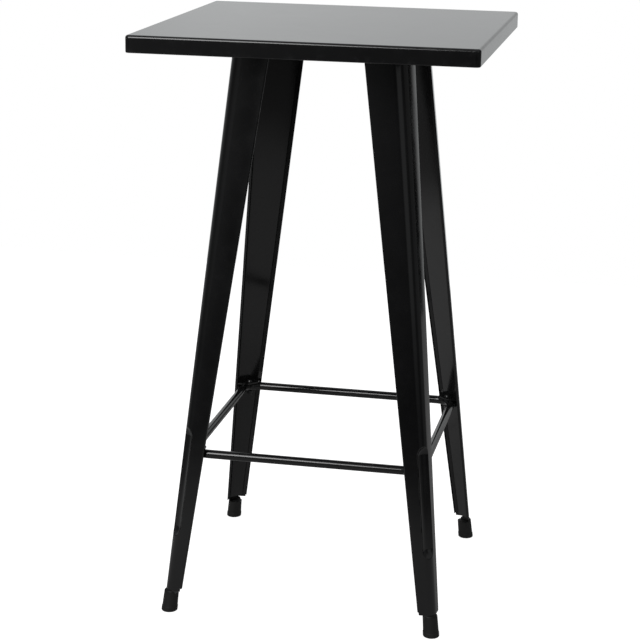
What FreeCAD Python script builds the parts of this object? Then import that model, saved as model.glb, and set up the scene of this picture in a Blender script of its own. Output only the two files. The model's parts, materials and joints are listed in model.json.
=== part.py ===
import FreeCAD, Part
import math
import os

os.makedirs("parts", exist_ok=True)

# Millimetres, +Z up, origin on the floor under the middle of the top.

# Tabletop pan, pressed from one sheet
table_height = 1060.0
top_side = 600.0
rim_depth = 30.0
pan_sheet = 1.2
pan_corner = 8.0          # plan radius of the four corners
pan_fold = 5.0            # outside radius of the fold along the top edge
rim_fold = 2.2            # outside radius of the fold under the rim
rim_return = 11.0         # inward flange under the rim

# Legs: an open angle of sheet that tapers from the rim to the floor
leg_sheet = 1.2
leg_reach_rim = 151.4     # middle of the table to the sharp corner of the angle, along X and Y
leg_reach_floor = 253.6
leg_open = 6.5            # degrees that each flank opens past a right angle
flank_rim = 69.8          # sharp corner to free edge
flank_floor = 28.6
bend_rim = 27.0           # outside radius of the leg corner
bend_floor = 15.0
lip = 5.0                 # inward return along each free edge
lip_bend = 2.2
leg_end = 41.0            # flanks stop this high
lip_end = 46.0            # returns stop this high
tongue_end = 12.0         # the corner tongue goes on down into the foot

# Pressed flute in each leg corner
flute_low = 146.0
flute_high = 348.0
flute_radius = 20.0
flute_depth = 8.5

# Channels that close the legs on the inside, welded to the flanks behind the returns
cover_sheet = 1.2
cover_setback = 8.5       # behind the free edges of the flanks
cover_bend = 2.2          # outside radius of the folds
cover_flange = 6.0        # flat flange against the flank
cover_end = 45.5          # lower end
cover_window = 52.0       # open for the leg bolts under the top

# Feet: tilted moulded caps
foot_inset = 9.6          # leg corner to foot axis, along the diagonal
foot_low_side = 35.2      # top of the foot inside the leg angle
foot_radius = 14.8        # collar at the floor
foot_collar = 9.0         # height of the collar
foot_waist = 14.1         # radius just above the collar
foot_neck = 13.5          # radius under the shoulder
foot_round = 4.0          # radius of the shoulder under the leg
foot_edge = 1.8           # bevel at the floor
foot_step = 0.8           # height of the step above the collar
foot_wall = 3.5           # rubber beside the tongue

# Footrest: one bent tube inside the four legs
ring_height = 298.0
ring_tube = 16.0
ring_wall = 1.5
ring_bend = 33.5

# Welded plates
gusset_plate = 3.0
gusset_margin = 12.0      # bolt centre to front edge
leg_plate = 3.0
leg_plate_margin = 15.0

# Braces under the top: hat channels on the diagonals
brace_sheet = 1.5
brace_depth = 21.5
brace_web = 44.0
brace_flange = 15.0
brace_bend = 1.0          # inside bend radius
brace_end_gap = 17.3      # flange corner to rim, along the brace

# Fasteners: M8 for the legs, M6 for the footrest
leg_bolt = 8.0
leg_bolt_edge = 20.0      # leg corner to the outer bolt, along the diagonal
leg_bolt_spacing = 26.0
leg_head = 14.0
leg_head_height = 4.4
leg_socket = 5.0
washer_width = 17.0
washer_sheet = 1.6
leg_nut = 13.0
leg_nut_height = 6.5
rest_bolt = 6.0
rest_head = 10.5
rest_head_height = 3.3
rest_socket = 4.0
rest_nut = 10.0
rest_nut_height = 5.0
socket_share = 0.6        # socket depth over head height
head_taper = 0.5          # head narrowing over head height
head_round = 0.3          # head edge radius over head height
bolt_show = 3.4           # thread past the nut

# Clearances
weld_gap = 0.1            # plates against curved sheet
slide_gap = 0.2           # foot on tongue, footrest under gusset
lip_gap = 0.6             # plates beside the returns
ring_gap = 4.6            # footrest tube past the returns
hole_gap = 0.5            # round a bolt, on the radius
washer_gap = 0.25         # washer round a bolt, on the radius
thread_gap = 0.1          # nut over bolt, on the radius
seam_overlap = 0.4        # flute wall inside the leg sheet
overshoot = 5.0           # cutting tools past the faces they cut
same_place = 0.01         # edges this close to a level belong to it

root_two = math.sqrt(2.0)
diagonal = 45
corners = {"back_right": 0, "back_left": 90, "front_left": 180, "front_right": 270}
open_angle = math.radians(leg_open)
half_turn = math.pi / 4 - open_angle
rim_height = table_height - rim_depth
pan_underside = table_height - pan_sheet
brace_seat = pan_underside - brace_depth
leg_top = brace_seat
leg_slope = (leg_reach_floor - leg_reach_rim) / rim_height
tongue_width = 2 * (foot_neck - foot_wall)
foot_top = leg_end - slide_gap


def vec(x, y, z):
    return FreeCAD.Vector(x, y, z)


def at_height(floor, rim, z):
    return floor + (rim - floor) * z / rim_height


def on_diagonal(distance, z):
    return vec(distance / root_two, distance / root_two, z)


def turned(shape, degrees):
    copy = shape.copy()
    copy.rotate(vec(0, 0, 0), vec(0, 0, 1), degrees)
    return copy


def save(name, shape):
    shape.exportStep("parts/" + name + ".step")


class LegSection:
    # Lines and tangents of the leg angle at one height, in the +X +Y quarter.
    def __init__(self, z):
        self.reach = at_height(leg_reach_floor, leg_reach_rim, z)
        self.flank = at_height(flank_floor, flank_rim, z)
        self.bend = at_height(bend_floor, bend_rim, z)
        self.apex = vec(self.reach, self.reach, z)
        self.run = [vec(-math.cos(open_angle), math.sin(open_angle), 0),
                    vec(math.sin(open_angle), -math.cos(open_angle), 0)]
        self.out = [vec(math.sin(open_angle), math.cos(open_angle), 0),
                    vec(math.cos(open_angle), math.sin(open_angle), 0)]
        self.middle = on_diagonal(root_two * self.reach - self.bend / math.cos(half_turn), z)

    def on_flank(self, side, length, inset):
        return self.apex + self.run[side] * length - self.out[side] * inset

    def tangent(self, side, inset):
        return self.middle + self.out[side] * (self.bend - inset)

    def crown(self, inset):
        return self.middle + on_diagonal(self.bend - inset, 0)

    def crown_distance(self):
        return root_two * self.crown(0).x

    def corner_arc(self, inset, side):
        start = self.tangent(side, inset)
        end = self.tangent(1 - side, inset)
        return Part.Arc(start, self.crown(inset), end).toShape()

    def lip_arc(self, side, inset):
        middle = self.on_flank(side, self.flank - lip_bend, lip_bend)
        size = lip_bend - inset
        flat = middle + self.out[side] * size
        tip = middle + self.run[side] * size
        half = middle + (self.out[side] + self.run[side]) * (size / root_two)
        return flat, half, tip


def leg_sheet_wire(z):
    s = LegSection(z)
    tip_out = [s.on_flank(side, s.flank, lip) for side in (0, 1)]
    tip_in = [s.on_flank(side, s.flank - leg_sheet, lip) for side in (0, 1)]
    flat0, half0, edge0 = s.lip_arc(0, 0)
    flat1, half1, edge1 = s.lip_arc(1, 0)
    flat2, half2, edge2 = s.lip_arc(1, leg_sheet)
    flat3, half3, edge3 = s.lip_arc(0, leg_sheet)
    edges = [Part.makeLine(tip_out[0], edge0),
             Part.Arc(edge0, half0, flat0).toShape(),
             Part.makeLine(flat0, s.tangent(0, 0)),
             s.corner_arc(0, 0),
             Part.makeLine(s.tangent(1, 0), flat1),
             Part.Arc(flat1, half1, edge1).toShape(),
             Part.makeLine(edge1, tip_out[1]),
             Part.makeLine(tip_out[1], tip_in[1]),
             Part.makeLine(tip_in[1], edge2),
             Part.Arc(edge2, half2, flat2).toShape(),
             Part.makeLine(flat2, s.tangent(1, leg_sheet)),
             s.corner_arc(leg_sheet, 1),
             Part.makeLine(s.tangent(0, leg_sheet), flat3),
             Part.Arc(flat3, half3, edge3).toShape(),
             Part.makeLine(edge3, tip_in[0]),
             Part.makeLine(tip_in[0], tip_out[0])]
    return Part.Wire(edges)


def angle_wire(z, inset):
    # The room inside the leg angle, closed by a square corner towards the middle of the table.
    s = LegSection(z)
    end0 = s.on_flank(0, s.flank, inset)
    end1 = s.on_flank(1, s.flank, inset)
    inner = vec(end0.x, end1.y, z)
    edges = [Part.makeLine(end0, s.tangent(0, inset)),
             s.corner_arc(inset, 0),
             Part.makeLine(s.tangent(1, inset), end1),
             Part.makeLine(end1, inner),
             Part.makeLine(inner, end0)]
    return Part.Wire(edges)


def angle_room(low, high, inset):
    return Part.makeLoft([angle_wire(low, inset), angle_wire(high, inset)], True, True)


def flute_core(radius):
    # A round-ended bar along the leg corner that presses flute_depth into it.
    ends = []
    run_out = math.sqrt(flute_radius ** 2 - (flute_radius - flute_depth) ** 2)
    for z in (flute_low + run_out, flute_high - run_out):
        ends.append(LegSection(z).crown(flute_depth) + on_diagonal(flute_radius, 0))
    axis = ends[1] - ends[0]
    core = Part.makeCylinder(radius, axis.Length, ends[0], axis)
    for end in ends:
        core = core.fuse(Part.makeSphere(radius, end))
    return core


def beside_leg(width, high):
    # Everything below a height that is farther from the diagonal than half a width.
    long = root_two * (leg_reach_floor + flank_floor)
    block = Part.makeBox(long, long, high, vec(0, width / 2, 0))
    blocks = [block, block.mirror(vec(0, 0, 0), vec(0, 1, 0))]
    return Part.makeCompound([turned(b, diagonal) for b in blocks])


def make_leg():
    leg = Part.makeLoft([leg_sheet_wire(tongue_end), leg_sheet_wire(leg_top)], True, True)
    wall = flute_core(flute_radius + leg_sheet)
    wall = wall.common(angle_room(flute_low - overshoot, flute_high + overshoot, seam_overlap))
    leg = leg.fuse(wall).cut(flute_core(flute_radius))
    leg = leg.cut(angle_room(0, lip_end, leg_sheet + weld_gap))
    return leg.cut(beside_leg(tongue_width, leg_end))


def corner_plate(low, thickness, front, holes, hole_radius):
    # A flat plate welded across the leg angle: fits the flanks, clears the returns.
    s = LegSection(low)
    limit = s.on_flank(0, s.flank - leg_sheet, 0).x + lip_gap
    far = s.reach + s.flank
    cut = root_two * front - limit
    outline = [vec(limit, cut, low), vec(limit, far, low), vec(far, far, low),
               vec(far, limit, low), vec(cut, limit, low), vec(limit, cut, low)]
    blank = Part.Face(Part.makePolygon(outline)).extrude(vec(0, 0, thickness))
    plate = blank.common(angle_room(low - overshoot, low + thickness + overshoot, leg_sheet + weld_gap))
    for distance in holes:
        spot = on_diagonal(distance, low - overshoot)
        plate = plate.cut(Part.makeCylinder(hole_radius, thickness + 2 * overshoot, spot))
    return plate


def make_gusset():
    front = rest_bolt_reach - gusset_margin
    plate = corner_plate(gusset_low, gusset_plate, front, [rest_bolt_reach], rest_bolt / 2 + hole_gap)
    return plate.cut(flute_core(flute_radius + leg_sheet + weld_gap))


def make_leg_plate():
    front = min(leg_spots) - leg_plate_margin
    return corner_plate(leg_top - leg_plate, leg_plate, front, leg_spots, leg_bolt / 2 + hole_gap)


def cover_wire(z):
    # Section of a cover: a web across the angle whose edges fold back into flanges along the flanks.
    s = LegSection(z)
    seat = leg_sheet + weld_gap
    centre = s.flank - cover_setback - cover_bend
    half_fold = (math.pi - half_turn) / 2

    def fold(side, radius):
        middle = s.on_flank(side, centre, seat + cover_bend)
        nose = s.out[side] * math.cos(half_fold) + s.run[side] * math.sin(half_fold)
        flange = middle + s.out[side] * radius
        end = s.on_flank(side, centre - cover_flange, seat + cover_bend - radius)
        return end, flange, middle + nose * radius, middle - on_diagonal(radius, 0)

    end0, flange0, nose0, web0 = fold(0, cover_bend)
    end1, flange1, nose1, web1 = fold(1, cover_bend)
    end2, flange2, nose2, web2 = fold(1, cover_bend - cover_sheet)
    end3, flange3, nose3, web3 = fold(0, cover_bend - cover_sheet)
    edges = [Part.makeLine(end0, flange0), Part.Arc(flange0, nose0, web0).toShape(),
             Part.makeLine(web0, web1), Part.Arc(web1, nose1, flange1).toShape(),
             Part.makeLine(flange1, end1), Part.makeLine(end1, end2),
             Part.makeLine(end2, flange2), Part.Arc(flange2, nose2, web2).toShape(),
             Part.makeLine(web2, web3), Part.Arc(web3, nose3, flange3).toShape(),
             Part.makeLine(flange3, end3), Part.makeLine(end3, end0)]
    return Part.Wire(edges)


def make_cover(low, high):
    return Part.makeLoft([cover_wire(low), cover_wire(high)], True, True)


def make_foot():
    # Circles on a leaning axis: bevel, collar, tapering wall and a rounded shoulder under the leg.
    # The shoulder wraps the outside of the leg corner; inside the angle the foot is lower.
    foot_reach = LegSection(0).crown_distance() - foot_inset

    def ring_wire(z, radius):
        middle = on_diagonal(foot_reach, z) - vec(leg_slope * z, leg_slope * z, 0)
        return Part.Wire(Part.makeCircle(radius, middle))

    wires = [ring_wire(0, foot_radius - foot_edge), ring_wire(foot_edge, foot_radius),
             ring_wire(foot_collar, foot_radius), ring_wire(foot_collar + foot_step, foot_waist)]
    for turn in (0, 30, 60, 90):
        drop = foot_round * (1 - math.sin(math.radians(turn)))
        inset = foot_round * (1 - math.cos(math.radians(turn)))
        wires.append(ring_wire(foot_top - drop, foot_neck - inset))
    body = Part.makeLoft(wires, True, True)
    slot = angle_room(tongue_end - slide_gap, leg_end, -slide_gap)
    slot = slot.cut(angle_room(0, lip_end, leg_sheet + slide_gap))
    slot = slot.cut(beside_leg(tongue_width + 2 * slide_gap, leg_end))
    return body.cut(slot).cut(angle_room(foot_low_side, leg_end, leg_sheet + slide_gap))


def ring_bar(radius):
    straight = ring_reach - ring_bend
    rail = Part.makeCylinder(radius, 2 * straight, vec(ring_reach, -straight, ring_height), vec(0, 1, 0))
    bend = Part.makeTorus(ring_bend, radius, vec(straight, straight, ring_height),
                          vec(0, 0, 1), -180, 180, 90)
    pieces = [turned(piece, degrees) for degrees in corners.values() for piece in (rail, bend)]
    return pieces[0].multiFuse(pieces[1:]).removeSplitter()


def make_ring():
    ring = ring_bar(ring_tube / 2).cut(ring_bar(ring_tube / 2 - ring_wall))
    low = on_diagonal(rest_bolt_reach, ring_height - ring_tube)
    hole = Part.makeCylinder(rest_bolt / 2 + hole_gap, 2 * ring_tube, low)
    for degrees in corners.values():
        ring = ring.cut(turned(hole, degrees))
    return ring


def rounded_slab(side, low, high, corner, top_fold, low_fold):
    slab = Part.makeBox(side, side, high - low, vec(-side / 2, -side / 2, low))
    upright = [e for e in slab.Edges if abs(e.Vertexes[0].Z - e.Vertexes[1].Z) > same_place]
    slab = slab.makeFillet(corner, upright)
    for z, fold in ((high, top_fold), (low, low_fold)):
        if fold > 0:
            edges = [e for e in slab.Edges if all(abs(v.Z - z) < same_place for v in e.Vertexes)]
            slab = slab.makeFillet(fold, edges)
    return slab


def make_pan():
    inner_side = top_side - 2 * pan_sheet
    mouth_side = top_side - 2 * rim_return
    outer = rounded_slab(top_side, rim_height, table_height, pan_corner, pan_fold, rim_fold)
    inner = rounded_slab(inner_side, rim_height + pan_sheet, pan_underside, pan_corner - pan_sheet,
                         pan_fold - pan_sheet, rim_fold - pan_sheet)
    mouth = rounded_slab(mouth_side, rim_height - overshoot, pan_underside - pan_fold, pan_corner, 0, 0)
    return outer.cut(inner).cut(mouth)


def make_brace(start, end, holes):
    # A hat channel along +X: web below, flanges up against the pan.
    half = brace_web / 2
    room = half - brace_sheet
    wide = half + brace_flange
    top = pan_underside
    low = brace_seat
    outline = [(-wide, top), (-room, top), (-room, low + brace_sheet), (room, low + brace_sheet),
               (room, top), (wide, top), (wide, top - brace_sheet), (half, top - brace_sheet),
               (half, low), (-half, low), (-half, top - brace_sheet), (-wide, top - brace_sheet)]
    points = [vec(start, y, z) for y, z in outline]
    hat = Part.Face(Part.makePolygon(points + points[:1])).extrude(vec(end - start, 0, 0))

    def bends(y, z):
        return [e for e in hat.Edges
                if abs(e.Vertexes[0].X - e.Vertexes[-1].X) > same_place
                and abs(abs(e.Vertexes[0].Y) - y) < same_place
                and abs(e.Vertexes[0].Z - z) < same_place]

    hat = hat.makeFillet(brace_bend + brace_sheet, bends(half, low) + bends(room, top))
    hat = hat.makeFillet(brace_bend, bends(room, low + brace_sheet) + bends(half, top - brace_sheet))
    for distance in holes:
        spot = vec(distance, 0, low - overshoot)
        hat = hat.cut(Part.makeCylinder(leg_bolt / 2 + hole_gap, brace_depth, spot))
    return hat


def hexagon(across, height, spot):
    radius = across / math.sqrt(3.0)
    turns = [k * math.pi / 3 for k in range(7)]
    points = [spot + vec(radius * math.cos(turn), radius * math.sin(turn), 0) for turn in turns]
    return Part.Face(Part.makePolygon(points)).extrude(vec(0, 0, height))


def make_bolt(spot, shank, length, head, head_height, socket):
    # A button head below the seat at spot, with the shank upwards.
    base = spot - vec(0, 0, head_height)
    dome = Part.makeCone(head / 2 - head_taper * head_height, head / 2, head_height, base)
    edge = [e for e in dome.Edges if abs(e.BoundBox.ZMax - base.z) < same_place]
    dome = dome.makeFillet(head_round * head_height, edge)
    bolt = dome.fuse(Part.makeCylinder(shank / 2, length, spot))
    return bolt.cut(hexagon(socket, socket_share * head_height, base))


def make_nut(spot, across, height, bore):
    return hexagon(across, height, spot).cut(Part.makeCylinder(bore, height, spot))


def make_washer(spot):
    disc = Part.makeCylinder(washer_width / 2, washer_sheet, spot)
    return disc.cut(Part.makeCylinder(leg_bolt / 2 + washer_gap, washer_sheet, spot))


def save_group(name, pieces):
    copies = [turned(piece, degrees) for degrees in corners.values() for piece in pieces]
    save(name, Part.makeCompound(copies))


# The footrest passes inside the leg returns and its bends sit on the diagonals.
rest = LegSection(ring_height)
return_inset = lip * math.cos(open_angle) - rest.flank * math.sin(open_angle)
ring_reach = rest.reach - return_inset - ring_gap - ring_tube / 2
rest_bolt_reach = root_two * (ring_reach - ring_bend) + ring_bend
gusset_low = ring_height + ring_tube / 2 + slide_gap
leg_bolt_far = LegSection(leg_top).crown_distance() - leg_bolt_edge
leg_spots = [leg_bolt_far - leg_bolt_spacing, leg_bolt_far]

cover_below = make_cover(cover_end, gusset_low - weld_gap)
cover_above = make_cover(gusset_low + gusset_plate + weld_gap, leg_top - cover_window)
leg = make_leg()
foot = make_foot()
gusset = make_gusset()
plate = make_leg_plate()
for corner, degrees in corners.items():
    save("leg_" + corner, turned(leg, degrees))
    save("leg_cover_upper_" + corner, turned(cover_above, degrees))
    save("leg_cover_lower_" + corner, turned(cover_below, degrees))
    save("foot_" + corner, turned(foot, degrees))
    save("footrest_gusset_" + corner, turned(gusset, degrees))
    save("leg_plate_" + corner, turned(plate, degrees))

save("tabletop_pan", make_pan())
save("footrest_ring", make_ring())

brace_wide = brace_web / 2 + brace_flange
brace_reach = top_side / root_two - brace_wide - brace_end_gap
both_ways = [sign * distance for distance in leg_spots for sign in (-1, 1)]
save("brace_long", turned(make_brace(-brace_reach, brace_reach, both_ways), diagonal))
short_brace = make_brace(brace_wide, brace_reach, leg_spots)
for corner in ("back_left", "front_right"):
    save("brace_short_" + corner, turned(short_brace, corners[corner] + diagonal))

washer_low = leg_top - leg_plate - washer_sheet
leg_bolt_length = washer_sheet + leg_plate + brace_sheet + leg_nut_height + bolt_show
leg_bolts = [make_bolt(on_diagonal(d, washer_low), leg_bolt, leg_bolt_length, leg_head,
                       leg_head_height, leg_socket) for d in leg_spots]
save_group("leg_bolts", leg_bolts)
save_group("leg_washers", [make_washer(on_diagonal(d, washer_low)) for d in leg_spots])
save_group("brace_nuts", [make_nut(on_diagonal(d, brace_seat + brace_sheet), leg_nut, leg_nut_height,
                                   leg_bolt / 2 + thread_gap) for d in leg_spots])

# The footrest bolts go in from above: head on the gusset, nut under the tube.
rest_seat = on_diagonal(rest_bolt_reach, gusset_low + gusset_plate)
rest_nut_low = on_diagonal(rest_bolt_reach, ring_height - ring_tube / 2 - rest_nut_height)
rest_bolt_length = ring_tube + slide_gap + gusset_plate + rest_nut_height + bolt_show
rest_fixing = make_bolt(rest_seat, rest_bolt, rest_bolt_length, rest_head, rest_head_height, rest_socket)
save_group("footrest_bolts", [rest_fixing.mirror(rest_seat, vec(0, 0, 1))])
save_group("footrest_nuts", [make_nut(rest_nut_low, rest_nut, rest_nut_height,
                                      rest_bolt / 2 + thread_gap)])
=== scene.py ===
import bpy
import json
import math
import numpy as np
from mathutils import Matrix


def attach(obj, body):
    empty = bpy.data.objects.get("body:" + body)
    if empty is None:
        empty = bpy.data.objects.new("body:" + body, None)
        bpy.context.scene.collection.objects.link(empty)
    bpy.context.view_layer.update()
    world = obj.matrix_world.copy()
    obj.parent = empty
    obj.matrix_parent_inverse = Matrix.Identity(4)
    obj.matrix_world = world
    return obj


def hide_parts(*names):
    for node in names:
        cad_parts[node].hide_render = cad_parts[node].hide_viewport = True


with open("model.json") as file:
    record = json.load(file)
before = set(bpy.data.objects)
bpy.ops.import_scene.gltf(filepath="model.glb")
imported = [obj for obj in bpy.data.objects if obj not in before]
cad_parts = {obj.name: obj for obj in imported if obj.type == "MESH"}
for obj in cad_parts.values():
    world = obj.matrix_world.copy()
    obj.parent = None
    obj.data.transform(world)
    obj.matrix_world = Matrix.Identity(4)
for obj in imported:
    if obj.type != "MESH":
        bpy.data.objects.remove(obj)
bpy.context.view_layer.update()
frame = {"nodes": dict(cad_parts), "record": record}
cadNodes = frame["nodes"]
scene = bpy.context.scene
scene.view_settings.view_transform = "Standard"
cornerTurns = {"back_right": 0, "back_left": 90, "front_left": 180, "front_right": 270}
print("frame loaded with", len(cadNodes), "pieces")


def addNode(tree, kind, links=None, **settings):
    node = tree.nodes.new(kind)
    for key, value in settings.items():
        setattr(node, key, value)
    for socket, value in (links or {}).items():
        if isinstance(value, bpy.types.NodeSocket):
            tree.links.new(value, node.inputs[socket])
        else:
            node.inputs[socket].default_value = value
    return node


def startFinish(name):
    finish = bpy.data.materials.new(name)
    finish.use_nodes = True
    tree = finish.node_tree
    return finish, tree, tree.nodes["Principled BSDF"], addNode(tree, "ShaderNodeTexCoord").outputs["Object"]


def speckle(tree, where, scale, detail=2.0, rough=0.5):
    return addNode(tree, "ShaderNodeTexNoise", {"Vector": where, "Scale": scale, "Detail": detail,
                                                "Roughness": rough}).outputs["Fac"]


def stretch(tree, value, low, high, toLow, toHigh):
    return addNode(tree, "ShaderNodeMapRange", {"Value": value, "From Min": low, "From Max": high,
                                                "To Min": toLow, "To Max": toHigh}).outputs["Result"]


def blendColours(tree, factor, first, second):
    mix = addNode(tree, "ShaderNodeMix", {0: factor}, data_type="RGBA")
    for socket, value in ((6, first), (7, second)):
        if isinstance(value, bpy.types.NodeSocket):
            tree.links.new(value, mix.inputs[socket])
        else:
            mix.inputs[socket].default_value = (*value, 1.0)
    return mix.outputs[2]


def stackBumps(tree, layers):
    # each layer is height, distance in metres and strength; every bump rides on the one before
    normal = None
    for height, distance, strength in layers:
        links = {"Height": height, "Distance": distance, "Strength": strength}
        if normal is not None:
            links["Normal"] = normal
        normal = addNode(tree, "ShaderNodeBump", links).outputs["Normal"]
    return normal


def multiply(tree, first, second):
    return addNode(tree, "ShaderNodeMath", {0: first, 1: second}, operation="MULTIPLY").outputs[0]


def addUp(tree, first, second):
    return addNode(tree, "ShaderNodeMath", {0: first, 1: second}, operation="ADD").outputs[0]


def enamel(name, look):
    # black baked enamel: orange peel about a millimetre wide, slow ripple of the sheet, scuffs on the edges
    finish, tree, shader, where = startFinish(name)
    cloud = speckle(tree, where, look["cloudScale"], 4.0)
    peel = speckle(tree, where, look["peelScale"], 1.5)
    ripple = speckle(tree, where, look["rippleScale"], 1.0)
    nibs = stretch(tree, speckle(tree, where, look["nibScale"], 1.0), 0.74, 0.8, 0.0, 1.0)
    edge = addNode(tree, "ShaderNodeAttribute", attribute_name="edge").outputs["Fac"]
    rubbed = stretch(tree, speckle(tree, where, look["scuffScale"], 6.0, 0.7), 0.5, 0.68, 0.0, 1.0)
    scuff = multiply(tree, edge, rubbed)
    colour = blendColours(tree, stretch(tree, cloud, 0.3, 0.7, 0.0, 1.0), look["deep"], look["bloom"])
    colour = blendColours(tree, multiply(tree, scuff, look["scuff"]), colour, look["scuffColour"])
    gloss = stretch(tree, cloud, 0.3, 0.7, *look["roughness"])
    gloss = addUp(tree, gloss, multiply(tree, scuff, look["scuffRough"]))
    tree.links.new(colour, shader.inputs["Base Color"])
    tree.links.new(gloss, shader.inputs["Roughness"])
    layers = [(ripple, look["rippleHeight"], 1.0), (peel, look["peelHeight"], 1.0),
              (nibs, look["nibHeight"], 0.6)]
    tree.links.new(stackBumps(tree, layers), shader.inputs["Normal"])
    return finish


topLook = dict(deep=(0.0045, 0.0045, 0.0047), bloom=(0.006, 0.006, 0.0063), cloudScale=18.0,
               roughness=(0.112, 0.13), scuff=0.5, scuffColour=(0.025, 0.025, 0.026),
               scuffScale=55.0, scuffRough=0.12, peelScale=700.0, peelHeight=0.00001,
               rippleScale=7.0, rippleHeight=0.00004, nibScale=420.0, nibHeight=0.00004)
legLook = dict(topLook, roughness=(0.09, 0.15), rippleScale=14.0, rippleHeight=0.0002)
footrestLook = dict(legLook, rippleScale=40.0, rippleHeight=0.00008)


def satinCoat(name, look):
    # satin powder coat of the hidden braces and plates: finer, drier grain
    finish, tree, shader, where = startFinish(name)
    cloud = speckle(tree, where, look["cloudScale"], 5.0)
    grain = speckle(tree, where, look["grainScale"], 2.0)
    colour = blendColours(tree, stretch(tree, cloud, 0.3, 0.7, 0.0, 1.0), look["deep"], look["bloom"])
    tree.links.new(colour, shader.inputs["Base Color"])
    tree.links.new(stretch(tree, cloud, 0.3, 0.7, *look["roughness"]), shader.inputs["Roughness"])
    tree.links.new(stackBumps(tree, [(grain, look["grainHeight"], 1.0)]), shader.inputs["Normal"])
    return finish


braceLook = dict(deep=(0.0075, 0.0075, 0.0078), bloom=(0.0105, 0.0105, 0.011), roughness=(0.32, 0.42),
                 cloudScale=25.0, grainScale=900.0, grainHeight=0.00003)


def zincPlate(name, look):
    # bright zinc: cloudy passivation with fine drawn lines along the shank
    finish, tree, shader, where = startFinish(name)
    cloud = speckle(tree, where, look["cloudScale"], 4.0)
    lines = addNode(tree, "ShaderNodeMapping", {"Vector": where, "Scale": look["lineScale"]})
    scratch = speckle(tree, lines.outputs[0], 1.0, 2.0)
    colour = blendColours(tree, stretch(tree, cloud, 0.35, 0.65, 0.0, 1.0), look["bright"], look["dull"])
    tree.links.new(colour, shader.inputs["Base Color"])
    shader.inputs["Metallic"].default_value = 1.0
    tree.links.new(stretch(tree, cloud, 0.3, 0.7, *look["roughness"]), shader.inputs["Roughness"])
    tree.links.new(stackBumps(tree, [(scratch, look["lineHeight"], 0.5)]), shader.inputs["Normal"])
    return finish


zincLook = dict(bright=(0.60, 0.60, 0.59), dull=(0.46, 0.46, 0.43), roughness=(0.24, 0.42),
                cloudScale=240.0, lineScale=(1800.0, 1800.0, 160.0), lineHeight=0.00002)


def mouldedRubber(name, look):
    # moulded black rubber: fine matte grain, dust rubbed into the floor edge, and painted shade that darkens
    # the shoulder just under the leg
    finish, tree, shader, where = startFinish(name)
    grain = speckle(tree, where, look["grainScale"], 3.0)
    cloud = speckle(tree, where, look["cloudScale"], 5.0)
    edge = addNode(tree, "ShaderNodeAttribute", attribute_name="edge").outputs["Fac"]
    dust = multiply(tree, edge, stretch(tree, cloud, 0.4, 0.65, 0.0, 1.0))
    colour = blendColours(tree, stretch(tree, cloud, 0.3, 0.7, 0.0, 1.0), look["deep"], look["bloom"])
    colour = blendColours(tree, multiply(tree, dust, look["dusty"]), colour, look["dust"])
    # painted shade: the colour turns near black over the shoulder's height just under the leg, darkening the
    # top-lit shoulder as shade would
    height = addNode(tree, "ShaderNodeSeparateXYZ", {0: where}).outputs["Z"]
    colour = blendColours(tree, stretch(tree, height, *look["paintedShadeBand"], 0.0, 1.0), colour, look["paintedShadeColour"])
    tree.links.new(colour, shader.inputs["Base Color"])
    tree.links.new(stretch(tree, cloud, 0.3, 0.7, *look["roughness"]), shader.inputs["Roughness"])
    tree.links.new(stackBumps(tree, [(grain, look["grainHeight"], 0.8)]), shader.inputs["Normal"])
    shader.inputs["Specular IOR Level"].default_value = look["shine"]
    return finish


# the last line gives the height band and the colour of the painted shade on the foot's shoulder
rubberLook = dict(deep=(0.0074, 0.0074, 0.0071), bloom=(0.0106, 0.0106, 0.0102), cloudScale=90.0,
                  roughness=(0.5, 0.62), shine=0.35, grainScale=1400.0, grainHeight=0.00006,
                  dust=(0.024, 0.0235, 0.022), dusty=0.4,
                  paintedShadeBand=(0.0355, 0.0385), paintedShadeColour=(0.0012, 0.0012, 0.0012))


def blackZinc(name, look):
    # black passivated fixings: satin, with paler tool marks where the key and the spanner bit
    finish, tree, shader, where = startFinish(name)
    cloud = speckle(tree, where, look["cloudScale"], 4.0)
    marks = stretch(tree, speckle(tree, where, look["markScale"], 3.0, 0.6), 0.58, 0.72, 0.0, 1.0)
    colour = blendColours(tree, stretch(tree, cloud, 0.3, 0.7, 0.0, 1.0), look["deep"], look["bloom"])
    colour = blendColours(tree, multiply(tree, marks, look["marked"]), colour, look["mark"])
    tree.links.new(colour, shader.inputs["Base Color"])
    tree.links.new(stretch(tree, cloud, 0.3, 0.7, *look["roughness"]), shader.inputs["Roughness"])
    tree.links.new(stackBumps(tree, [(cloud, look["cloudHeight"], 0.6)]), shader.inputs["Normal"])
    return finish


blackZincLook = dict(deep=(0.008, 0.008, 0.008), bloom=(0.014, 0.014, 0.0138), roughness=(0.3, 0.42),
                     mark=(0.035, 0.035, 0.034), marked=0.35, markScale=900.0,
                     cloudScale=300.0, cloudHeight=0.00002)

slotFinish = {"top_paint": enamel("blackEnamelTop", topLook),
              "leg_paint": enamel("blackEnamelLegs", legLook),
              "footrest_paint": enamel("blackEnamelFootrest", footrestLook),
              "brace_paint": satinCoat("satinBlackBraces", braceLook),
              "foot_rubber": mouldedRubber("mouldedFootRubber", rubberLook),
              "zinc_steel": zincPlate("zincPlatedFixings", zincLook),
              "black_steel": blackZinc("blackZincFixings", blackZincLook)}
for piece in frame["record"]["subparts"]:
    cad = cadNodes[piece["node"]]
    cad.data.materials.clear()
    cad.data.materials.append(slotFinish[piece["material_slot"]])
print("finishes made:", ", ".join(slotFinish))


# meshes are worked out in millimetres and turned to metres in addPiece
def gridQuads(rows, cols, wrapRows=False, wrapCols=False):
    # quads of a grid numbered row by row; the side where row, then column, turns anticlockwise is outwards
    r = np.arange(rows if wrapRows else rows - 1)[:, None]
    c = np.arange(cols if wrapCols else cols - 1)[None, :]
    up, on = (r + 1) % rows, (c + 1) % cols
    return np.stack([r * cols + c, up * cols + c, up * cols + on, r * cols + on], -1).reshape(-1, 4)


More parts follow.
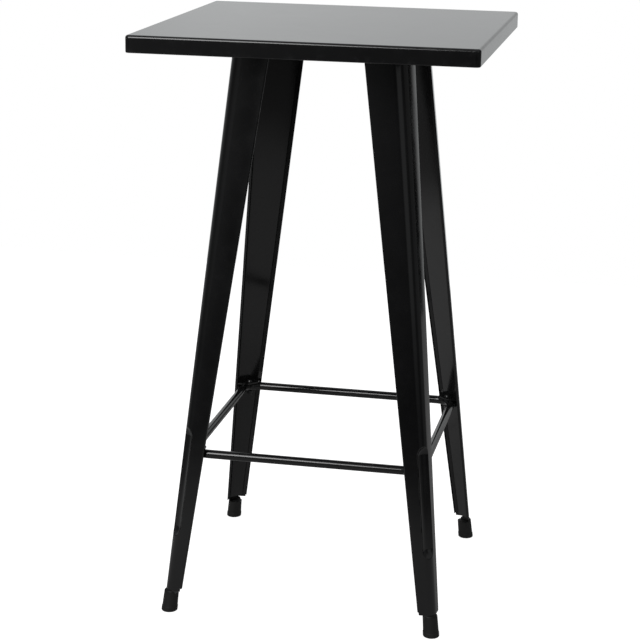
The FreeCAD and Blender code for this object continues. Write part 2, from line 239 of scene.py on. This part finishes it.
def closeEnds(rows, cols):
    # fans from the first and the last row of a wrapped grid to two poles numbered after its points
    c = np.arange(cols)
    n = (c + 1) % cols
    under = np.stack([np.full(cols, rows * cols), c, n], -1)
    over = np.stack([(rows - 1) * cols + c, np.full(cols, rows * cols + 1), (rows - 1) * cols + n], -1)
    return [under[:, ::-1], over[:, ::-1]]


def cornerSpin(degrees):
    # quarter turns about the middle of the table, for row vectors
    c, s = round(math.cos(math.radians(degrees))), round(math.sin(math.radians(degrees)))
    return np.array([[c, s, 0], [-s, c, 0], [0, 0, 1.0]])


def addPiece(name, points, faces, edge, slot, node):
    # keeps only the points that the faces use, and carries the rub of the edges as an attribute
    used, order = np.unique(np.concatenate([f.ravel() for f in faces]), return_inverse=True)
    cuts = np.cumsum([f.size for f in faces])[:-1]
    faces = [part.reshape(f.shape) for part, f in zip(np.split(order, cuts), faces)]
    mesh = bpy.data.meshes.new(name)
    mesh.from_pydata((points[used] * 0.001).tolist(), [], [q for f in faces for q in f.tolist()])
    mesh.polygons.foreach_set("use_smooth", np.ones(len(mesh.polygons), bool))
    mesh.attributes.new("edge", "FLOAT", "POINT").data.foreach_set("value", edge[used].astype(np.float32))
    mesh.update()
    piece = bpy.data.objects.new(name, mesh)
    scene.collection.objects.link(piece)
    mesh.materials.append(slotFinish[slot])
    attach(piece, "root")
    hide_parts(node)
    return piece


def roundedSquare(half, radius, arcSteps, sideShares):
    # a square of the given half width whose corners are quarter circles; one row for each half width
    half, radius = np.atleast_1d(half)[:, None], np.atleast_1d(radius)[:, None]
    turn = np.linspace(0, math.pi / 2, arcSteps + 1)[None, :]
    middle = half - radius
    x = np.concatenate([middle + radius * np.cos(turn), middle * (1 - 2 * sideShares[None, :])], 1)
    y = np.concatenate([middle + radius * np.sin(turn), half + 0 * sideShares[None, :]], 1)
    ring = np.stack([x, y], -1)
    flip = np.array([[0, 1], [-1, 0]])            # a quarter turn anticlockwise, for row vectors
    return np.concatenate([ring, ring @ flip, ring @ flip @ flip, ring @ flip @ flip @ flip], 1)


def arc(middle, radius, start, end, steps):
    # part of a circle, from one angle to another in degrees
    turn = np.radians(np.linspace(start, end, steps + 1))
    return np.stack([middle[0] + radius * np.cos(turn), middle[1] + radius * np.sin(turn)], -1)


pan = dict(half=300.0, height=1060.0, rim=1030.0, sheet=1.2, corner=8.0, fold=5.0, lowFold=2.2, turnIn=11.0,
           cutEdge=0.35, sag=0.12)


def panProfile():
    # half of the pan's section as (distance in from the rim, height): under the top, down inside the rim,
    # round the return, up the rim, over the fold and across the top
    p = pan
    top, low = p["height"], p["rim"]
    fold, lowFold, sheet, cut = p["fold"], p["lowFold"], p["sheet"], p["cutEdge"]
    flats = np.array([270.0, 220, 160, 100, 60, 30, 14, 8, fold + 0.5])
    under = np.stack([flats, np.full(len(flats), top - sheet)], -1)
    inFold = arc((fold, top - fold), fold - sheet, 90, 180, 7)
    inSide = np.array([[sheet, top - fold - 0.4], [sheet, low + lowFold + 0.4]])
    inLow = arc((lowFold, low + lowFold), lowFold - sheet, 180, 270, 5)
    lip = np.array([[lowFold + 0.4, low + sheet], [p["turnIn"] - 1.0, low + sheet]])
    edgeTop = arc((p["turnIn"] - cut, low + sheet - cut), cut, 90, 0, 3)
    edgeLow = arc((p["turnIn"] - cut, low + cut), cut, 0, -90, 3)
    lipLow = np.array([[p["turnIn"] - 1.0, low], [lowFold + 0.4, low]])
    outLow = arc((lowFold, low + lowFold), lowFold, 270, 180, 7)
    outSide = np.array([[0, low + lowFold + 0.4], [0, (low + top) / 2], [0, top - fold - 0.4]])
    outFold = arc((fold, top - fold), fold, 180, 90, 10)
    over = np.stack([flats[::-1], np.full(len(flats), top)], -1)
    return np.concatenate([under, inFold, inSide, inLow, lip, edgeTop, edgeLow, lipLow, outLow, outSide,
                           outFold, over])


def buildPan():
    # the profile carried round a rounded square; the sheet sags a little towards the middle of each bay
    profile = panProfile()
    inset, z = profile[:, 0], profile[:, 1]
    half = pan["half"] - inset
    radius = np.minimum(np.maximum(pan["corner"] - inset, 1.0), half)
    shares = np.concatenate([[0.004], np.linspace(0.03, 0.97, 25), [0.996]])
    flat = roundedSquare(half, radius, 10, shares)
    rows, cols = flat.shape[:2]
    span = np.clip((inset[:, None] - 8.0) / 60.0, 0, 1)
    bay = np.cos(flat[..., 0] * math.pi / pan["half"]) * np.cos(flat[..., 1] * math.pi / pan["half"])
    drop = pan["sag"] * span * span * (3 - 2 * span) * (0.6 - 0.4 * bay)
    points = np.concatenate([flat, (z[:, None] - drop)[..., None]], -1).reshape(-1, 3)
    crown = pan["height"] - pan["sag"] * 0.2
    points = np.concatenate([points, [[0, 0, crown - pan["sheet"]], [0, 0, crown]]])
    foldRub = np.exp(-np.abs(inset - 2.0) / 2.5) * (z > pan["height"] - 6)
    rimRub = 0.7 * (z < pan["rim"] + 3) * (inset < 4)
    edge = np.concatenate([np.repeat(foldRub + rimRub, cols), [0, 0]])
    faces = [gridQuads(rows, cols, wrapCols=True)[:, ::-1], *closeEnds(rows, cols)]
    return addPiece("pressed_top", points, faces, edge, "top_paint", "tabletop_pan")


buildPan()
print("pressed top built")


leg = dict(rim=1030.0, top=1037.3, flankEnd=41.0, lipEnd=46.0, sheet=1.2, lip=5.0, lipBend=2.2,
           reach=(253.6, 151.4), flank=(28.6, 69.8), bend=(15.0, 27.0),     # at the floor, at the rim
           openAngle=6.5, crownAngle=2.1, cutEdge=0.0003,
           flute=(162.36, 331.64), fluteRadius=20.0, fluteDepth=8.5, fluteEase=0.9,
           fineLow=(138, 172), fineHigh=(322, 356))                         # closer rows at the flute's ends


def legColumns():
    # across the sheet from one return to the corner: share of the way from free edge to corner tangent,
    # and the offsets along and out of the flank
    turn = np.radians(np.linspace(0, 90 - leg["crownAngle"], 9))
    flat = np.concatenate([[0.008, 0.1, 0.28, 0.5, 0.66, 0.76], np.linspace(0.82, 0.98, 9), [1.0]])
    share = np.concatenate([np.zeros(3 + len(turn)), flat])
    along = np.concatenate([np.full(3, leg["lipBend"]), leg["lipBend"] * np.cos(turn), 0 * flat])
    out = np.concatenate([[-leg["lip"], -leg["lip"] + 1.4, -leg["lipBend"] - 0.4],
                          leg["lipBend"] * (np.sin(turn) - 1), 0 * flat])
    kind = np.concatenate([np.zeros(3 + len(turn) - 1), np.ones(1 + len(flat))])
    return share, along, out, kind


def legRows():
    # heights of the rows, from the end of the flanks to the braces
    low, high = leg["fineLow"], leg["fineHigh"]
    return np.unique(np.concatenate([np.linspace(leg["flankEnd"], leg["lipEnd"], 4),
                                     np.linspace(leg["lipEnd"], low[0], 9), np.linspace(*low, 40),
                                     np.linspace(low[1], high[0], 16), np.linspace(*high, 40),
                                     np.linspace(high[1], leg["top"], 28)]).round(4))


def softRise(value, ease):
    # nothing below -ease, the value itself above +ease, and a parabola that joins them
    return np.where(value >= ease, value, np.where(value <= -ease, 0, (value + ease) ** 2 / (4 * ease)))


def legSurface():
    # outer face of the sheet: at each height two flanks that open from a rounded corner, each crowned by a
    # flat parabola and turned in at its free edge; the corner arc ends at the slope of the crowns
    z = legRows()[:, None]
    climb = z / leg["rim"]
    level = {key: leg[key][0] + (leg[key][1] - leg[key][0]) * climb for key in ("reach", "flank", "bend")}
    opening, crown = math.radians(leg["openAngle"]), math.radians(leg["crownAngle"])
    halfTurn = math.pi / 4 - opening
    tangent = level["bend"] * math.tan(halfTurn)
    share, along, out, kind = legColumns()
    out = out + math.tan(crown) * (level["flank"] - leg["lipBend"] - tangent) * share * (1 - share)
    sides = []
    for run, face in (((-math.cos(opening), math.sin(opening)), (math.sin(opening), math.cos(opening))),
                      ((math.sin(opening), -math.cos(opening)), (math.cos(opening), math.sin(opening)))):
        a = (1 - share) * (level["flank"] - leg["lipBend"]) + share * tangent + along
        x = level["reach"] + run[0] * a + face[0] * out
        y = level["reach"] + run[1] * a + face[1] * out
        outward = np.broadcast_to(np.array([face[0], face[1], 0.0]), x.shape + (3,))
        sides.append((np.stack([x, y, z + 0 * x], -1), outward))
    radius = level["bend"] * math.sin(halfTurn) / math.sin(halfTurn - crown)
    sharp = level["reach"] * math.sqrt(2) - level["bend"] * (1 / math.cos(halfTurn) - math.cos(halfTurn))
    middle = (sharp - radius * math.cos(halfTurn - crown)) / math.sqrt(2)
    swing = math.pi / 4 + np.linspace(halfTurn - crown, crown - halfTurn, 61)[None, 1:-1]
    bow = np.stack([middle + radius * np.cos(swing), middle + radius * np.sin(swing), z + 0 * swing], -1)
    bowOut = np.broadcast_to(np.stack([np.cos(swing), np.sin(swing), 0 * swing], -1), bow.shape)
    points = np.concatenate([sides[0][0], bow, sides[1][0][:, ::-1]], 1)
    outward = np.concatenate([sides[0][1], bowOut, sides[1][1][:, ::-1]], 1)
    kinds = np.concatenate([kind, np.full(bow.shape[1], 2), kind[::-1]])
    return points, outward, kinds


def pressFlute(points, outward):
    # a bar with ball ends lies along the corner; each point goes in along its own normal to the bar's skin
    ends = []
    for height in leg["flute"]:
        rise = height / leg["rim"]
        reach = leg["reach"][0] + (leg["reach"][1] - leg["reach"][0]) * rise
        bend = leg["bend"][0] + (leg["bend"][1] - leg["bend"][0]) * rise
        halfTurn = math.pi / 4 - math.radians(leg["openAngle"])
        crest = reach * math.sqrt(2) - bend / math.cos(halfTurn) + bend
        axis = (crest - leg["fluteDepth"] + leg["fluteRadius"]) / math.sqrt(2)
        ends.append(np.array([axis, axis, height]))
    bar = ends[1] - ends[0]
    nearest = ends[0] + np.clip(((points - ends[0]) @ bar) / (bar @ bar), 0, 1)[..., None] * bar
    gap = points - nearest
    facing = np.sum(gap * outward, -1)
    inside = facing ** 2 - np.sum(gap * gap, -1) + leg["fluteRadius"] ** 2
    depth = np.where(inside > 0, facing + np.sqrt(np.maximum(inside, 0)), -99.0)
    return points - softRise(depth, leg["fluteEase"])[..., None] * outward


def buildLegs():
    # one fluted sheet, turned to the four corners, with its thickness and cut edges from modifiers
    points, outward, kinds = legSurface()
    points = pressFlute(points, outward)
    rows, cols = points.shape[:2]
    quads = gridQuads(rows, cols)
    height = points[..., 2].reshape(-1)[quads].mean(1)
    lips = kinds[quads % cols].min(1) < 1
    quads = quads[(height > leg["lipEnd"]) | ~lips]
    rub = np.where(kinds == 0, 1.0, 0.12)[None, :] + np.exp(-np.abs(points[..., 2] - leg["flankEnd"]) / 6.0)
    edge = np.clip(rub, 0, 1).reshape(-1)
    for name, degrees in cornerTurns.items():
        turned = points.reshape(-1, 3) @ cornerSpin(degrees)
        piece = addPiece("pressed_leg_" + name, turned, [quads], edge, "leg_paint", "leg_" + name)
        wall = piece.modifiers.new("sheet", "SOLIDIFY")
        wall.thickness = leg["sheet"] * 0.001
        wall.offset = -1.0
        wall.use_even_offset = True
        trim = piece.modifiers.new("cut_edges", "BEVEL")
        trim.width = leg["cutEdge"]
        trim.segments = 2
        trim.limit_method = "ANGLE"
        trim.angle_limit = math.radians(50)
        trim.harden_normals = True


buildLegs()
print("legs built")


footrest = dict(reach=211.05, bend=33.5, height=298.0, tube=16.0, flatten=0.35,
                seamAt=60.0, seamHigh=0.22, seamWide=1.1)


def buildFootrest():
    # a circle carried round a rounded square; the bends flatten a little and one weld stands proud behind
    f = footrest
    shares = np.concatenate([[0.004], np.linspace(0.02, 0.98, 61), [0.996]])
    path = roundedSquare(f["reach"], f["bend"], 20, shares)[0]
    inner = roundedSquare(f["reach"] - 1.0, f["bend"] - 1.0, 20, shares)[0]
    outward = path - inner                       # one millimetre in along every normal
    outward /= np.linalg.norm(outward, axis=1)[:, None]
    bent = 1 - np.clip(np.abs(np.abs(path[:, 0]) - np.abs(path[:, 1])) / f["bend"], 0, 1)
    around = np.linspace(0, 2 * math.pi, 32, endpoint=False)[:, None]
    seam = np.exp(-((path[:, 0] - f["seamAt"]) / f["seamWide"]) ** 2) * (path[:, 1] > 200)
    radius = f["tube"] / 2 + seam[None, :] * f["seamHigh"] * (1 + 0.2 * np.sin(around * 9))
    reach = radius * np.cos(around) * (1 - f["flatten"] / (f["tube"] / 2) * bent[None, :])
    x = path[None, :, 0] + outward[None, :, 0] * reach
    y = path[None, :, 1] + outward[None, :, 1] * reach
    z = f["height"] + radius * np.sin(around)
    points = np.stack([x, y, z], -1)
    rows, cols = points.shape[:2]
    edge = (0.25 + 0.5 * np.clip(np.sin(around), 0, 1) + 0 * x).reshape(-1)
    faces = [gridQuads(rows, cols, True, True)[:, ::-1]]
    points = points.reshape(-1, 3)
    return addPiece("bent_tube_footrest", points, faces, edge, "footrest_paint", "footrest_ring")


buildFootrest()
print("footrest built")


foot = dict(middle=243.866, slope=0.09922, collar=14.8, collarHigh=9.0, waist=14.1, neck=13.5, top=40.8,
            lowSide=35.2, round=4.0, edge=1.8, step=0.7)


def buildFeet():
    # a turned section swung round an axis that leans in with the leg; inside the leg angle the top is
    # pressed down to its low side, up to a wall that follows the inner face of the leg
    f = foot
    tread = np.array([[4.0, 0.7], [5.0, 0.7], [5.5, 0.15], [5.9, 0], [7.2, 0], [7.6, 0.12], [8.1, 0.6],
                      [8.8, 0.6], [9.3, 0.12], [9.7, 0], [f["collar"] - f["edge"] - 0.3, 0]])
    roll = arc((f["collar"] - f["edge"], f["edge"]), f["edge"], -90, 0, 7)
    band = np.array([[f["collar"], f["edge"] + 0.5], [f["collar"], f["collarHigh"] - 1.4]])
    brow = arc((f["collar"] - f["step"], f["collarHigh"] - f["step"] + 0.1), f["step"], 0, 80, 5)
    start = f["collarHigh"] + f["step"]
    rise = np.linspace(0, 1, 7)[:, None]
    foothill = np.array([[f["waist"] + 0.1, start]])
    wallTop = np.array([f["neck"], f["top"] - f["round"] - 0.4])
    wall = np.array([f["waist"], start + 0.8]) * (1 - rise) + wallTop * rise
    shoulder = arc((f["neck"] - f["round"], f["top"] - f["round"]), f["round"], 0, 90, 8)
    inwards = np.linspace(f["neck"] - f["round"] - 0.6, 0.6, 12)
    lid = np.stack([inwards, np.full(12, f["top"])], -1)
    profile = np.concatenate([tread, roll, band, brow, foothill, wall, shoulder, lid])
    swing = np.linspace(0, 2 * math.pi, 96, endpoint=False)[None, :]
    radius, z = profile[:, :1], profile[:, 1:]
    lean = f["middle"] - f["slope"] * z
    x, y = lean + radius * np.cos(swing), lean + radius * np.sin(swing)
    opening = math.radians(leg["openAngle"])
    span, out, aside = math.cos(math.pi / 4 - opening), (x + y) / math.sqrt(2), np.abs(x - y) / math.sqrt(2)
    apex, bend = (leg["reach"][0] - f["slope"] * f["top"]) * math.sqrt(2), leg["bend"][0] - leg["sheet"]
    flat = apex - (leg["sheet"] + aside * math.sin(math.pi / 4 - opening)) / span
    curve = apex - leg["bend"][0] / span + np.sqrt(np.maximum(bend ** 2 - aside ** 2, 0))
    inner = np.where(aside < bend * math.sin(math.pi / 4 - opening), curve, flat)
    outside = np.clip((out - inner) / 0.4, 0, 1)
    z = z - np.maximum(z - f["lowSide"], 0) * (1 - outside)
    points = np.stack([x, y, z], -1)
    rows, cols = points.shape[:2]
    poleHigh = np.array([0.7, f["lowSide"]])      # in the tread and on the lid
    poleLean = f["middle"] - f["slope"] * poleHigh
    points = np.concatenate([points.reshape(-1, 3), np.stack([poleLean, poleLean, poleHigh], -1)])
    faces = [gridQuads(rows, cols, wrapCols=True)[:, ::-1], *closeEnds(rows, cols)]
    edge = np.concatenate([np.repeat(np.clip(1 - profile[:, 1] / 6.0, 0, 1), cols), [0.5, 0]])
    for name, degrees in cornerTurns.items():
        turned = points @ cornerSpin(degrees)
        piece = addPiece("moulded_foot_" + name, turned, faces, edge, "foot_rubber", "foot_" + name)
        piece.data.set_sharp_from_angle(angle=math.radians(50))


buildFeet()
print("feet built")


# the paper's share and range entries paint the lamps' falloff into the floor colour that the enamel mirrors
studio = dict(frontEdge=-2.8, side=2.2, back=2.4, paper=0.45, paintedLightLeft=0.42, paintedLightRight=0.35,
              litSide=(1.43, 1.72), farShare=0.43, litFront=(-2.4, -1.05), frontShare=(0.1, 0.8),
              litBack=(-0.9, 0.2), backShare=1.25, lift=0.86, ambient=0.29, backdropTint=(0.98, 1.0, 1.004),
              lowBand=(-0.06, 0.02), lowFront=(0.0, 0.4), lowAcross=(-0.32, 0.02), lowShare=(0.5, 0.8),
              overhead=(0.4, 0.7), overheadLevel=0.32,
              softbox=dict(place=(-1.3, -3.3, 2.75), aim=(0.0, 0.0, 0.6), size=(1.7, 2.0), watts=79.0,
                           mirrored=True),
              skylight=dict(place=(0.0, 0.2, 3.4), aim=(0.0, 0.0, 0.0), size=(3.2, 3.2), watts=70.0,
                            mirrored=False))


def buildFloor():
    # a white sheet under and behind the table, plain white to the camera; the lamps light it, and for
    # reflections and bounce light its colour also carries a painted falloff of light: darker to the right,
    # towards the front and at the far sides, lighter behind
    s = studio
    x = np.linspace(-s["side"], s["side"], 9)
    y = np.linspace(s["frontEdge"], s["back"], 9)
    grid = np.stack(np.broadcast_arrays(x[None, :], y[:, None], np.full((1, 1), -0.0004)), -1).reshape(-1, 3)
    mesh = bpy.data.meshes.new("floor_paper")
    mesh.from_pydata(grid.tolist(), [], gridQuads(9, 9)[:, ::-1].tolist())
    floor = bpy.data.objects.new("floor_paper", mesh)
    scene.collection.objects.link(floor)
    paper = bpy.data.materials.new("whitePaper")
    paper.use_nodes = True
    tree = paper.node_tree
    shader = tree.nodes["Principled BSDF"]
    where = addNode(tree, "ShaderNodeTexCoord").outputs["Object"]
    axes = addNode(tree, "ShaderNodeSeparateXYZ", {0: where}).outputs
    # painted light: the paper's colour for all but camera rays is graded across and along the floor in place
    # of the lamps' falloff
    paperShade = stretch(tree, axes["X"], -0.8, 0.8, s["paintedLightLeft"], s["paintedLightRight"])
    paperShade = multiply(tree, paperShade, stretch(tree, axes["Y"], *s["litFront"], *s["frontShare"]))
    paperShade = multiply(tree, paperShade, stretch(tree, axes["Y"], *s["litBack"], 1.0, s["backShare"]))
    across = addNode(tree, "ShaderNodeMath", {0: axes["X"]}, operation="ABSOLUTE").outputs[0]
    rays = addNode(tree, "ShaderNodeLightPath")
    mirrored = multiply(tree, paperShade, stretch(tree, across, *s["litSide"], 1.0, s["farShare"]))
    seen = stretch(tree, rays.outputs["Is Camera Ray"], 0.0, 1.0, mirrored, s["paper"])
    tree.links.new(seen, shader.inputs["Base Color"])
    shader.inputs["Roughness"].default_value = 0.9
    shader.inputs["Specular IOR Level"].default_value = 0.0
    shader.inputs["Emission Color"].default_value = (1, 1, 1, 1)
    glow = multiply(tree, rays.outputs["Is Camera Ray"], s["lift"])
    tree.links.new(glow, shader.inputs["Emission Strength"])
    mesh.materials.append(paper)


# radiance round the room by direction: from behind on the left, round the front, to behind on the right
roomStops = [(-180, 0.68), (-172, 0.69), (-165, 0.77), (-150, 0.42), (-130, 0.33), (-115, 0.20), (-98, 0.14),
             (-85, 0.09), (-74, 0.10), (-60, 0.18), (-46, 0.22), (-35, 0.22), (-24, 0.05), (-18, 0.32),
             (-14, 0.22), (-6, 0.18), (0, 0.12), (8, 0.07), (28, 0.05), (38, 0.34), (62, 0.34), (72, 0.08),
             (88, 0.07), (97, 0.15), (128, 0.11), (142, 0.07), (150, 0.01), (156, 0.005), (158.5, 0.42),
             (167, 0.62), (173, 0.57), (180, 0.68)]


def buildRoom():
    s = studio
    world = bpy.data.worlds.new("studio")
    scene.world = world
    world.use_nodes = True
    tree = world.node_tree
    tree.nodes.clear()
    way = addNode(tree, "ShaderNodeTexCoord").outputs["Generated"]
    axes = addNode(tree, "ShaderNodeSeparateXYZ", {0: way}).outputs
    front = multiply(tree, axes["Y"], -1.0)
    angle = addNode(tree, "ShaderNodeMath", {0: axes["X"], 1: front}, operation="ARCTAN2").outputs[0]
    share = stretch(tree, angle, -math.pi, math.pi, 0.0, 1.0)
    ramp = addNode(tree, "ShaderNodeValToRGB", {0: share})
    stops = ramp.color_ramp.elements
    while len(stops) < len(roomStops):
        stops.new(0.5)
    for stop, (degrees, level) in zip(stops, roomStops):
        stop.position = (degrees + 180) / 360
        stop.color = (level, level, level, 1)
    # unlit floor in front of the paper, darker to the right, and the ceiling overhead
    low = stretch(tree, axes["Z"], *s["lowBand"], 1.0, 0.0)
    low = multiply(tree, low, stretch(tree, front, *s["lowFront"], 0.0, 1.0))
    low = multiply(tree, low, stretch(tree, axes["X"], *s["lowAcross"], *s["lowShare"]))
    room = blendColours(tree, low, ramp.outputs["Color"], (0, 0, 0))
    overhead = stretch(tree, axes["Z"], *s["overhead"], 0.0, 1.0)
    room = blendColours(tree, overhead, room, (s["overheadLevel"],) * 3)
    # the camera sees plain white; the enamel mirrors that backdrop behind the table and the dim room in front
    rays = addNode(tree, "ShaderNodeLightPath").outputs
    straight = addUp(tree, rays["Is Camera Ray"], rays["Is Transmission Ray"])
    mirrored = multiply(tree, rays["Is Glossy Ray"], room)
    ambient = multiply(tree, rays["Is Diffuse Ray"], s["ambient"])
    seen = addUp(tree, addUp(tree, straight, mirrored), ambient)
    tint = blendColours(tree, rays["Is Glossy Ray"], (1, 1, 1), s["backdropTint"])
    colour = blendColours(tree, seen, (0, 0, 0), tint)
    back = addNode(tree, "ShaderNodeBackground", {"Color": colour, "Strength": 1.0})
    addNode(tree, "ShaderNodeOutputWorld", {"Surface": back.outputs[0]})


def placeAxes(thing, columns):
    # stands a lamp or camera by its three axes and its place
    thing.matrix_world = Matrix(np.column_stack(columns).tolist() + [[0, 0, 0, 1]])


def buildLamp(name):
    box = studio[name]
    data = bpy.data.lights.new(name, "AREA")
    data.shape = "RECTANGLE"
    data.size, data.size_y = box["size"]
    data.energy = box["watts"]
    lamp = bpy.data.objects.new(name, data)
    lamp.visible_glossy = box["mirrored"]        # the skylight only lights, the softbox shows in the enamel
    scene.collection.objects.link(lamp)
    place, aim = np.array(box["place"]), np.array(box["aim"])
    back = (place - aim) / np.linalg.norm(place - aim)
    side = np.cross((0, 1, 0), back)
    side /= np.linalg.norm(side)
    placeAxes(lamp, [side, np.cross(back, side), back, place])


view = dict(place=(0.64553, -3.30361, 1.43787), yaw=-0.1982, pitch=-0.27013, roll=0.01599,
            lens=104.87, sensor=36.0)


def buildCamera():
    data = bpy.data.cameras.new("camera")
    data.lens = view["lens"]
    data.sensor_width = view["sensor"]
    data.clip_end = 50.0
    camera = bpy.data.objects.new("camera", data)
    scene.collection.objects.link(camera)
    cy, sy = math.cos(view["yaw"]), math.sin(view["yaw"])
    cp, sp = math.cos(view["pitch"]), math.sin(view["pitch"])
    look = np.array([sy * cp, cy * cp, sp])
    right = np.array([cy, -sy, 0.0])
    up = np.cross(right, look)
    c, s = math.cos(view["roll"]), math.sin(view["roll"])
    placeAxes(camera, [c * right + s * up, -s * right + c * up, -look, np.array(view["place"])])
    scene.camera = camera


buildFloor()
buildRoom()
buildLamp("softbox")
buildLamp("skylight")
buildCamera()
print("studio and camera set")
